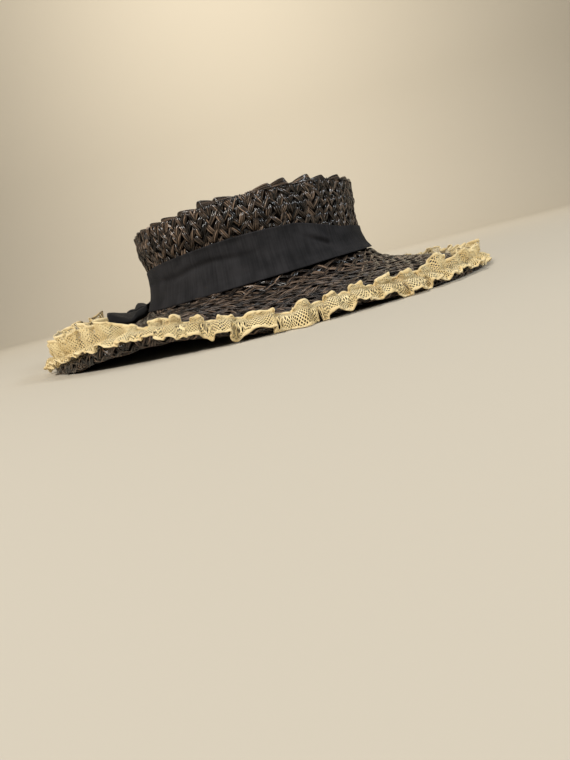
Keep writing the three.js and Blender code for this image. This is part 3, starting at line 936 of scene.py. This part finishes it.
def band_face(angle, share, extra=0.0):
    """A point on the ribbon's outer face."""
    high = mix(band_foot(angle), band_top(angle), share)
    above_foot = high - foot_height(angle)
    up = above_foot / (rim_height(angle) - foot_height(angle))
    off = SEAM_GAP + BAND_CLEAR + BAND_FLARE * smooth(BAND_OFF, 1, share)
    off = off + tuck_swell(angle) * smooth(BAND_OFF, 2, share) + extra
    off = off + np.maximum(crease(angle, above_foot), CREASE_LIMIT)
    off = off + BAND_RIPPLE * np.sin(7 * angle + 9 * share) * np.sin(11 * angle - 4 * share) * share
    sag = np.exp(-((share - SAG["high"] - 0.04 * np.sin(9 * angle)) / SAG["wide"]) ** 2)
    near = np.clip(1.3 - ((turn_of(angle) - SAG["turn"]) / SAG["spread"]) ** 2, 0, 1)
    return oval(HALF_CROWN, crown_out(up, angle) + off - SAG["depth"] * sag * near, high, angle)


def build_band():
    """A closed strip round the hat, from its outer face and its thickness."""
    shape = (BAND_ROWS, BAND_TURNS)
    angle = (np.arange(BAND_TURNS) * TAU / BAND_TURNS)[None, :]
    share = np.linspace(0, 1, BAND_ROWS)[:, None]
    points = np.concatenate([band_face(angle, share[::-1]), band_face(angle, share, -RIBBON_THICK)])
    u, v = angle / TAU * BAND_LENGTH, share * RIBBON_WIDTH
    uv = np.concatenate([uv_of(u, v[::-1], shape), uv_of(u, v, shape)])
    faces = grid_faces(2 * BAND_ROWS, BAND_TURNS, closed_section=True)
    return make_piece("hatband_ribbon", points, faces, ribbon, {"ribbon": uv})


band = build_band()
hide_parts("hatband")
print("faces of the band:", len(band.data.polygons))

# %% [markdown]
# The frill is a strip of cotton net, hemmed on both long edges and gathered along a line near its
# middle. About 1.6 times the length of the brim's edge goes into it, which makes the folds. A cloth
# simulation could gather it too. Here waves of different lengths are added up, and tables say how
# the net lies round the hat, so that its tall folds and its width come where the picture has them.

# %% Frill's sizes and tables
FRILL_WIDTH = 0.020
FRILL_FOLDS = 62
FRILL_INSET = 0.008
FOLD_DEPTH = 0.0034
FOLD_ROLL, FOLD_LEAN = 0.0012, 0.0024
FOLD_UPRIGHT = 0.75
FRILL_SEAT = 0.0029
FRILL_CLEAR = 0.0023
TABLE_GAP = 0.0008
FRILL_LINE = np.array([
    # turn, inset, outer lie, inner lie, outer reach, inner reach, outer waves
    (-180, 0.3, -30, 98, 0.85, 1.3, 0.5), (-166, 0.2, -48, 98, 0.85, 1, 0.5),
    (-154, 0.2, -38, 98, 0.9, 1, 0.45), (-142, 0.3, -14, 96, 0.8, 1.3, 0.4),
    (-132, 0.3, -12, 96, 0.8, 1.3, 0.4), (-123, 0.3, -18, 102, 0.8, 1.1, 0.4),
    (-118, 0.3, -20, 112, 0.8, 0.75, 0.35), (-112, 0.3, -30, 135, 0.8, 0.3, 0.45),
    (-106, 0.3, -42, 130, 0.85, 0.4, 0.55), (-100, 0.25, -52, 165, 0.9, 0.25, 0.6),
    (-94, 0.2, -44, 150, 0.9, 0.32, 0.7), (-88, 0.2, -44, 128, 0.95, 0.45, 0.75),
    (-82, 0.15, -60, 150, 1.1, 0.3, 0.75), (-76, 0.15, -58, 150, 1.15, 0.3, 0.75),
    (-70, 0.2, -28, 140, 0.9, 0.3, 0.7), (-64, 0.2, -38, 135, 0.95, 0.36, 0.7),
    (-58, 0.2, -45, 120, 0.95, 0.5, 0.7), (-52, 0.25, -32, 115, 0.95, 0.6, 0.7),
    (-46, 0.3, -20, 113, 0.85, 0.7, 0.6), (-34, 0.3, -18, 112, 0.75, 0.75, 0.5),
    (-22, 0.4, -40, 112, 0.75, 0.7, 0.5), (0, 0.4, -40, 115, 0.7, 0.8, 0.5),
    (60, 0.3, -26, 112, 0.85, 0.9, 0.6), (120, 0.3, -24, 108, 0.85, 1, 0.6),
    (180, 0.3, -30, 98, 0.85, 1.3, 0.5),
])
FRILL_PEAKS = np.array([
    # turn, high, spread
    (-172, 0.2, 2), (-162, 0.3, 2), (-153, 0.25, 1.8), (-145, 0.2, 2), (-135, 0.35, 2), (-129, 0.1, 2),
    (-121.5, 0.6, 2), (-107.5, 0.55, 1.4), (-98, 0.25, 1.5), (-89, 0.45, 1.3), (-78.5, 0.7, 1.6),
    (-66.5, 0.5, 1.6), (-61, 0.95, 1.3), (-46, 0.6, 2), (-37, 0.4, 2), (-12, 0.5, 2), (20, 0.4, 2),
    (51, 0.5, 2), (77, 0.5, 2), (104, 0.4, 2), (133, 0.5, 2), (161, 0.5, 2),
])
OUTER_HALF = np.array([
    # along, slope, swing
    (0, 0.2, 0.5), (0.5, 0.7, 0.95), (1, 1, 1),
])
INNER_HALF = np.array([
    # along, slope, swing
    (0, 1, 0.5), (0.5, 1, 0.9), (1, 1, 1),
])
WAVES = {
    # waves round the hat, share, start
    "phase": ((3, 1.2, 0.4), (8, 1.0, 2.1), (13, 0.8, 4.4)),
    "size": ((5, 0.24, 1.0), (11, 0.22, 2.6), (17, 0.2, 0.0)),
    "second": ((4, 1.2, 0.3), (9, 0.9, 1.9)),
    "third": ((6, 1.5, 0.8), (11, 1.0, 0.2)),
    "lean": ((4, 0.5, 2.0), (7, 0.45, 0.5), (16, 0.4, 1.0)),
    "pucker": ((430, 0.22, 0), (271, 0.18, 1), (97, 0.15, 2), (41, 0.12, 3)),
}


# %% Frill's shape
def slow_waves(name, angle):
    return sum(share * np.sin(waves * angle + start) for waves, share, start in WAVES[name])


def off_the_straw(beyond, up, turned):
    """Keeps the net clear of the straws on the brim and round its edge."""
    top = edge_top(turned)
    inside = brim_top(turned, np.clip(1 + beyond / REACH, 0, 1)) + FRILL_CLEAR
    corner = top + np.sqrt(np.maximum(0, FRILL_CLEAR ** 2 - np.maximum(0, beyond) ** 2))
    hung = (up < top) & (beyond > 0)
    lowest = np.where(beyond < 0, inside, np.where(beyond < FRILL_CLEAR, corner, 0))
    up = np.where(hung, up, np.maximum(up, lowest))
    return np.where(hung, np.maximum(beyond, FRILL_CLEAR), beyond), up


def peak_at(angle):
    """The tall folds of the inner half, from 0 between them."""
    off = turn_of(angle)[..., None] - FRILL_PEAKS[:, 0]
    return (FRILL_PEAKS[:, 1] * np.exp(-(off / FRILL_PEAKS[:, 2]) ** 2)).sum(axis=-1)


def fold_wave(angle, phase, blend):
    """Folds of three lengths, more of them deep where the table says so."""
    second = 0.30 * np.sin(2 * phase + 1.1 + slow_waves("second", angle))
    third = 0.12 * np.sin(3 * phase + slow_waves("third", angle))
    wave = (np.sin(phase) + second + third) * (1 + slow_waves("size", angle + 0.3 * blend))
    return wave * mix(1, 1.35 * one_side(FRILL_LINE, 6, angle), blend)


def frill_face(angle, share):
    """A point of the net, from its inner hem (0) to its outer hem (1)."""
    angle, share = np.broadcast_arrays(angle, share)
    along = np.abs(2 * share - 1)
    outer = share > 0.5
    blend = np.clip(4 * share - 1.5, 0, 1)
    swing = mix(smooth(INNER_HALF, 2, along), smooth(OUTER_HALF, 2, along), blend)
    peak = np.where(outer, 0, peak_at(angle))
    toward_out = smooth(OUTER_HALF, 1, along) * one_side(FRILL_LINE, 2, angle)
    toward_in = smooth(INNER_HALF, 1, along) * one_side(FRILL_LINE, 3, angle) - 22 * peak
    toward = np.radians(np.where(outer, toward_out, toward_in))
    across = np.radians(mix(toward_in - 90, toward_out + 90, blend))
    phase = FRILL_FOLDS * angle + slow_waves("phase", angle) + 0.5 * blend
    wave = fold_wave(angle, phase, blend)
    roll = FOLD_LEAN * slow_waves("lean", angle) * wave - FOLD_ROLL * np.sin(2 * phase + 0.4)
    turned = angle + swing * roll * 2 / sum(HALF_BRIM)
    inset = FRILL_INSET * one_side(FRILL_LINE, 1, angle)
    crinkle = 0.16 * np.sin(3.7 * phase + 5 * along) + 0.10 * np.sin(6.1 * phase - 4 * along)
    move = (wave + crinkle) * swing * FOLD_DEPTH
    wide = np.where(outer, one_side(FRILL_LINE, 4, angle), one_side(FRILL_LINE, 5, angle))
    ragged = 0.12 * np.sin(phase * 0.5 + 1) + 0.09 * np.sin(1.37 * phase + 2)
    half = FRILL_WIDTH / 2 * along * wide * (1 + along * ragged + 0.7 * peak * along ** 2)
    out = half * np.cos(toward) + move * np.cos(across)
    up = half * np.sin(toward) + FOLD_UPRIGHT * move * np.sin(across)
    beyond, high = off_the_straw(out - inset, edge_top(angle) + FRILL_SEAT + up, turned)
    return oval(HALF_BRIM, beyond, np.maximum(TABLE_GAP, high), turned)


# %% [markdown]
# Cotton net is open between its threads. The holes could be cut into the mesh, at a hundred times the
# faces. They are cut by Alpha instead, from two slanting rows of lines that cross. The hems are the
# same cloth folded double, so they have no holes.


# %% Net
def build_net_threads():
    """A net of crossing threads: a mask that is 1 on a thread and 0 in a hole."""
    group, wire, given, leave = new_group(
        "net_threads",
        [("UV", "NodeSocketVector", None), ("Pitch", "NodeSocketFloat", 0.001),
         ("Thread", "NodeSocketFloat", 0.3)],
        ["Mask", "Height"],
    )
    flat = wire.parts(given["UV"])
    ridges = []
    for sign in (1.0, -1.0):
        slant = wire.math("MULTIPLY_ADD", flat[1], sign, flat[0])
        saw = wire.math("PINGPONG", wire.math("DIVIDE", slant, given["Pitch"]), 0.5)
        ridges.append(wire.math("MULTIPLY", saw, 2.0))
    nearest = wire.math("MINIMUM", *ridges)
    wire.feed(leave, {
        "Mask": wire.math("LESS_THAN", nearest, given["Thread"]),
        "Height": wire.math("SUBTRACT", 1.0, nearest),
    })
    return group


net_threads = build_net_threads()
NET_PITCH = 0.0017
NET_THREAD = 0.37


def build_net(name, shade, colour, holes):
    """Cream cotton with a little yellowing, open between its threads or closed."""
    material, wire, shader = new_material(name)
    flat = wire.uv("net")
    mask, height = wire.place(net_threads, UV=flat, Pitch=NET_PITCH, Thread=NET_THREAD)
    cloud = wire.noise(Scale=60, Vector=flat)
    wire.feed(shader, {
        "Base Color": wire.ramp(cloud, (0.25, shade), (0.6, colour)),
        "Roughness": 0.9,
        "Sheen Weight": 0.2,
        "Normal": wire.bump(height, 0.4, 0.0002),
    })
    if holes:
        wire.feed(shader, {"Alpha": mask})
    return material


net = build_net("cream_net", (0.66, 0.48, 0.20), (0.87, 0.71, 0.39), holes=True)
hem_cloth = build_net("cream_hem", (0.66, 0.48, 0.21), (0.85, 0.69, 0.39), holes=False)
print("net:", len(net.node_tree.nodes), "nodes")

# %% Frill
FRILL_TURNS = FRILL_FOLDS * 34
FRILL_ROWS = 19


def way_along(line):
    """Distance along a line of points, from 0 at its start."""
    return np.concatenate([[0], np.cumsum(np.linalg.norm(np.diff(line, axis=0), axis=-1))])


def build_frill():
    angle = (np.arange(FRILL_TURNS + 1) * TAU / FRILL_TURNS)[None, :]
    share = np.linspace(0, 1, FRILL_ROWS)[:, None]
    points = frill_face(angle, share)
    length = np.mean([way_along(line) for line in points], axis=0)
    uv = uv_of(length, share * FRILL_WIDTH, points.shape[:2])
    faces = grid_faces(FRILL_ROWS, FRILL_TURNS + 1, closed_round=False)
    hems = [round(float(way_along(points[end])[-1]), 3) for end in (0, -1)]
    print("frill round the hat, m: middle", round(float(length[-1]), 3), "hems", hems)
    return make_piece("frill_net", points, faces, net, {"net": uv})


frill = build_frill()
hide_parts("frill")

# %% Hems
HEM_WIDTH = 0.0015
HEM_THICK = 0.0006
HEM_ON_TABLE = 0.0004
HEM_SECTION = ((0, 0.5), (0.5, 0.62), (1, 0.5), (1.12, 0), (1, -0.5), (0.5, -0.62), (0, -0.5), (-0.1, 0))


def build_hem(name, at_end):
    """A flat roll of cloth along one edge of the net."""
    angle = (np.arange(FRILL_TURNS) * TAU / FRILL_TURNS)
    edge = frill_face(angle, np.full_like(angle, at_end))
    inside = frill_face(angle, np.full_like(angle, abs(at_end - HEM_WIDTH / FRILL_WIDTH)))
    inward = unit(inside - edge)
    normal = unit(np.cross(np.roll(edge, -1, axis=0) - np.roll(edge, 1, axis=0), inward))
    pucker = 1 + slow_waves("pucker", angle)
    points = np.stack([
        edge
        + inward * (HEM_WIDTH * (a * pucker - 0.1))[:, None]
        + normal * (HEM_THICK * b * pucker)[:, None]
        for a, b in HEM_SECTION
    ])
    if at_end < 0.5:
        points = points[::-1]
    points[..., 2] = np.maximum(points[..., 2], HEM_ON_TABLE)
    uv = uv_of(way_along(edge), np.arange(len(points))[:, None] * HEM_THICK, points.shape[:2])
    faces = grid_faces(len(points), FRILL_TURNS, closed_section=True)
    return make_piece(name, points, faces, hem_cloth, {"net": uv})


inner_hem = build_hem("frill_inner_hem", 0.0)
outer_hem = build_hem("frill_outer_hem", 1.0)
print("faces of each hem:", len(inner_hem.data.polygons))

# %% [markdown]
# Behind the crown lies a small flat bow of the same ribbon: two loops, two tails and a knot, pinched
# where the knot holds them. Each is ribbon of its true thickness, drawn flat and laid on the brim.

# %% Bow laid on the brim
BOW_TURN = np.radians(171)
BOW_START = 0.0040
BOW_RAISE = 0.0014
KNOT_WIDTH, KNOT_DEPTH = 0.014, 0.025


def laid_on_brim(out, round_hat, up):
    """Points drawn flat, behind the crown, on the straw of the brim."""
    radius = (HALF_FOOT[0] + HALF_BRIM[0]) / 2
    point = on_brim(BOW_TURN + round_hat / radius, out / REACH)
    point[..., 2] += BOW_RAISE + up
    return point


# %% Loops of the bow
LOOP_LENGTH, LOOP_HEIGHT, LOOP_PINCH, LOOP_PLEAT = 0.034, 0.008, 0.020, 0.0012
LOOP_AROUND, LOOP_ROWS = 40, 14
LOOP_OUTLINE = ((0, -0.6), (0.5, -1), (0.88, -1), (1, 0), (0.86, 1), (0.45, 0.9), (0, 0.4))
LOOP_PUFF = np.array([(0, 0.85), (0.28, 0.9), (0.42, 0.45), (0.7, 1), (1, 1.7)])


def closed_curve(corners, count):
    """A smooth closed curve through corners."""
    corners = np.array(corners, float)
    n = len(corners)
    at = np.arange(count) * n / count
    i, t = np.floor(at).astype(int), (at % 1)[:, None]
    a, b, c, d = [corners[(i + k) % n] for k in (-1, 0, 1, 2)]
    return b + 0.5 * t * (c - a + t * (2 * a - 5 * b + 4 * c - d + t * (3 * (b - c) + d - a)))


def build_loop(name, side):
    """A loop: a closed curve seen from the side, carried across the ribbon's width."""
    outline = closed_curve(LOOP_OUTLINE, LOOP_AROUND)
    across = np.linspace(0, 1, LOOP_ROWS)

    def layer(inset, share):
        along_loop = KNOT_WIDTH / 2 + SEAM_GAP + inset + (LOOP_LENGTH - 2 * inset) * outline[:, 0]
        up = LOOP_HEIGHT / 2 + (LOOP_HEIGHT / 2 - inset) * outline[:, 1]
        along_loop, up, share = along_loop[None, :], up[None, :], share[:, None]
        opened = np.minimum(1, along_loop / (KNOT_WIDTH + LOOP_LENGTH / 2))
        out = BOW_START + share * RIBBON_WIDTH * mix(LOOP_PINCH / RIBBON_WIDTH, 1, opened)
        puff = mix(1, smooth(LOOP_PUFF, 1, share), opened)
        pleat = LOOP_PLEAT * np.sin(share * 6 * np.pi + 1) * (1 - opened)
        return laid_on_brim(out, side * along_loop, up * puff + pleat)

    points = np.concatenate([layer(0, across), layer(RIBBON_THICK, across[::-1])])
    if side < 0:
        points = points[::-1]
    rows, around = points.shape[:2]
    uv = uv_of(np.arange(around) * 0.0018, np.arange(rows)[:, None] * 0.0023, (rows, around))
    faces = grid_faces(rows, around, closed_section=True)
    return make_piece(name, points, faces, bow_ribbon, {"ribbon": uv})


# %% Knot and tails
KNOT_PLEAT, TAIL_PLEAT = 0.0005, 0.0011
TAIL_LENGTH, TAIL_WIDTH, TAIL_SPREAD, TAIL_RIPPLE, TAIL_SLANT = 0.024, 0.022, 26, 0.003, 0.6


def slab(name, face, rows, columns):
    """A piece of ribbon with two faces and closed edges, from a function of two shares."""
    a, b = np.linspace(0, 1, rows)[:, None], np.linspace(0, 1, columns)[None, :]
    rings = np.concatenate([face(a, b, RIBBON_THICK), face(a, b, 0.0)[::-1]])
    faces = grid_faces(2 * rows, columns, closed_round=False, closed_section=True)
    for n in range(rows - 1):
        low = (2 * rows - 1 - n) * columns
        faces.append([n * columns, low, low - columns, (n + 1) * columns])
        end = columns - 1
        faces.append([n * columns + end, (n + 1) * columns + end, low - columns + end, low + end])
    both = np.concatenate([a, a[::-1]])
    uv = uv_of(b * 0.03, both * 0.03, (2 * rows, columns))
    return make_piece(name, rings, faces, bow_ribbon, {"ribbon": uv})


def knot_face(a, b, lift):
    """Over the middle of the bow: a runs across the hat's back, b out from the crown."""
    turn = (a - 0.5) * np.pi
    pleat = KNOT_PLEAT * np.sin(b * 5 * np.pi)
    across = np.sign(turn) * (KNOT_WIDTH / 2 - RIBBON_THICK + lift) * np.abs(np.sin(turn)) ** 0.6
    up = (LOOP_HEIGHT + lift + pleat) * np.abs(np.cos(turn)) ** 0.5
    return laid_on_brim(BOW_START + b * KNOT_DEPTH + 0 * a, across + 0 * b, up)


def tail_face(side):
    """A tail that leaves the knot slanting to one side, rising a little on its way."""
    def face(a, b, lift):
        across = (b - 0.5) * TAIL_WIDTH * side
        across = across * mix((KNOT_WIDTH / 2 - SEAM_GAP) / TAIL_WIDTH, 1, a)
        reach = a * TAIL_LENGTH + a * side * across * TAIL_SLANT
        rise = TAIL_RIPPLE * np.sin(a * np.pi) ** 2 * (1 - a / 2) + lift
        rise = rise + TAIL_PLEAT * (1 - a) * (1 + np.sin(b * 6 * np.pi))
        spread = np.radians(TAIL_SPREAD) * side
        out = BOW_START + KNOT_DEPTH - 0.001 + reach * np.cos(spread)
        return laid_on_brim(out, side * KNOT_WIDTH / 4 + reach * np.sin(spread) + across, rise)
    return face


bow = {
    "bow_loop_right": build_loop("bow_right_loop", 1),
    "bow_loop_left": build_loop("bow_left_loop", -1),
    "bow_knot": slab("bow_knot_ribbon", knot_face, 25, 17),
    "bow_tail_right": slab("bow_right_tail", tail_face(1), 20, 37),
    "bow_tail_left": slab("bow_left_tail", tail_face(-1), 20, 37),
}
for node, made in bow.items():
    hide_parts(node)
    print(node, "faces:", len(made.data.polygons))

# %% [markdown]
# Ribbon and net are sheets of cloth, each cut to a size: the band one turn round the crown, the frill
# about 1.6 times the length of the brim's edge, the bow a short length of the same ribbon.

# %% [markdown]
# Plain pale floor that curves up into a backdrop. A soft key light stands at the left and a small
# cool fill at the right, a wide light hangs above, and one more washes the backdrop, all in an even
# sky. One large light would be plainer, but the varnish needs small ones for its sparks.

# %% Floor
FLOOR_FRONT, FLOOR_BACK, FLOOR_SIDE, WALL_HEIGHT, BEND = -2.0, 1.6, 3.0, 2.4, 0.7


def build_floor():
    """A floor and a wall with a wide bend between them."""
    material, wire, shader = new_material("pale_floor")
    cloud = wire.noise(Scale=2.0)
    wire.feed(shader, {
        "Base Color": wire.ramp(cloud, (0, (0.52, 0.47, 0.38)), (1, (0.58, 0.53, 0.44))),
        "Roughness": 0.9,
    })
    turn = np.linspace(0, np.pi / 2, 24)
    bend = np.stack([FLOOR_BACK + BEND * np.sin(turn), BEND * (1 - np.cos(turn))], -1)
    section = np.concatenate([[(FLOOR_FRONT, 0.0)], bend, [(FLOOR_BACK + BEND, WALL_HEIGHT)]])
    mesh = bpy.data.meshes.new("floor")
    points = [(x, y, z) for x in (-FLOOR_SIDE, FLOOR_SIDE) for y, z in section]
    mesh.from_pydata(points, [], grid_faces(2, len(section), closed_round=False))
    mesh.materials.append(material)
    mesh.shade_smooth()
    floor = add_object("floor", mesh)
    return floor


floor = build_floor()
print("floor:", len(floor.data.polygons), "faces")


# %% Lights and sky
def add_light(name, place, target, size, power, colour):
    """A round lamp that faces a target."""
    light = bpy.data.lights.new(name, "AREA")
    light.shape = "DISK"
    light.size, light.energy, light.color = size, power, colour
    lamp = add_object(name, light)
    lamp.location = place
    lamp.rotation_euler = (Vector(target) - Vector(place)).to_track_quat("-Z", "Y").to_euler()


add_light("key", (-0.8, -1.0, 1.2), (0, 0, 0.05), 0.5, 25, (1.0, 0.96, 0.90))
add_light("fill", (1.3, -0.8, 0.8), (0, 0, 0.05), 0.32, 12, (0.86, 0.93, 1.0))
add_light("top", (0.2, 0.6, 1.8), (0, 0.2, 0.0), 1.0, 6, (1.0, 0.98, 0.95))
add_light("backdrop", (0, 0.9, 1.7), (0, 2.4, 0.8), 1.2, 30, (1.0, 0.93, 0.82))
bpy.context.scene.view_settings.view_transform = "Standard"
world = bpy.data.worlds.new("soft_room")
bpy.context.scene.world = world
world.use_nodes = True
sky = world.node_tree.nodes["Background"].inputs
sky["Color"].default_value = (0.93, 0.90, 0.84, 1)
sky["Strength"].default_value = 0.17
print("lights:", len(bpy.data.lights))
